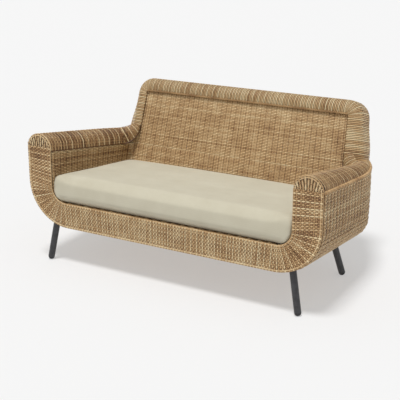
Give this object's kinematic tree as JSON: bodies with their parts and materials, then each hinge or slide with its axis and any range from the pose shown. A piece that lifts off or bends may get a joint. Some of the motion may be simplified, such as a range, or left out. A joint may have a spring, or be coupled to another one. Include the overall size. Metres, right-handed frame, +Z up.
{
  "type": "patio loveseat",
  "caption": "Woven patio loveseat with rounded arms, a leaning back, splayed tube legs and a loose seat cushion.",
  "frame": {"origin": "on the floor, under the centre of the object's box", "axes": "+X along the seat to the sitter's left, +Y from front to back, +Z up"},
  "size_m": [1.4, 0.858, 0.7132],
  "materials": {
    "woven_resin": "flat extruded polyethylene strands in mixed tans, satin",
    "frame_tube": "welded round tube, brushed",
    "leg_coat": "dark charcoal powder coat, satin",
    "foot_cap": "moulded dark plastic",
    "cushion_cloth": "plain woven outdoor cloth, sand",
    "cushion_foam": "open-cell foam"
  },
  "bodies": {
    "shell": {"foot_cap_front_left": "foot_cap", "foot_cap_front_right": "foot_cap", "foot_cap_rear_left": "foot_cap", "foot_cap_rear_right": "foot_cap", "frame_arm_arch_left": "frame_tube", "frame_arm_arch_right": "frame_tube", "frame_arm_rail_inner_left": "frame_tube", "frame_arm_rail_inner_right": "frame_tube", "frame_arm_rail_outer_left": "frame_tube", "frame_arm_rail_outer_right": "frame_tube", "frame_back_hoop": "frame_tube", "frame_bottom_rail_left": "frame_tube", "frame_bottom_rail_right": "frame_tube", "frame_front_inner_hoop": "frame_tube", "frame_front_outer_hoop": "frame_tube", "frame_front_struts": "frame_tube", "frame_rear_rail": "frame_tube", "frame_seat_rear_rail": "frame_tube", "frame_seat_slats": "frame_tube", "leg_front_left": "leg_coat", "leg_front_right": "leg_coat", "leg_rear_left": "leg_coat", "leg_rear_right": "leg_coat", "weave_arm_inner_left": "woven_resin", "weave_arm_inner_right": "woven_resin", "weave_arm_roll_left": "woven_resin", "weave_arm_roll_right": "woven_resin", "weave_back_border": "woven_resin", "weave_back_inner": "woven_resin", "weave_back_outer": "woven_resin", "weave_front_band": "woven_resin", "weave_seat_deck": "woven_resin", "weave_side_left": "woven_resin", "weave_side_right": "woven_resin", "weave_underside": "woven_resin"},
    "cushion": {"cushion_cover": "cushion_cloth", "cushion_core": "cushion_foam"}
  },
  "joints": [
    {"name": "cushion_lift", "type": "slide", "parent": "shell", "child": "cushion", "axis": [0, 0, 1], "range_m": [0, 0.35]}
  ]
}
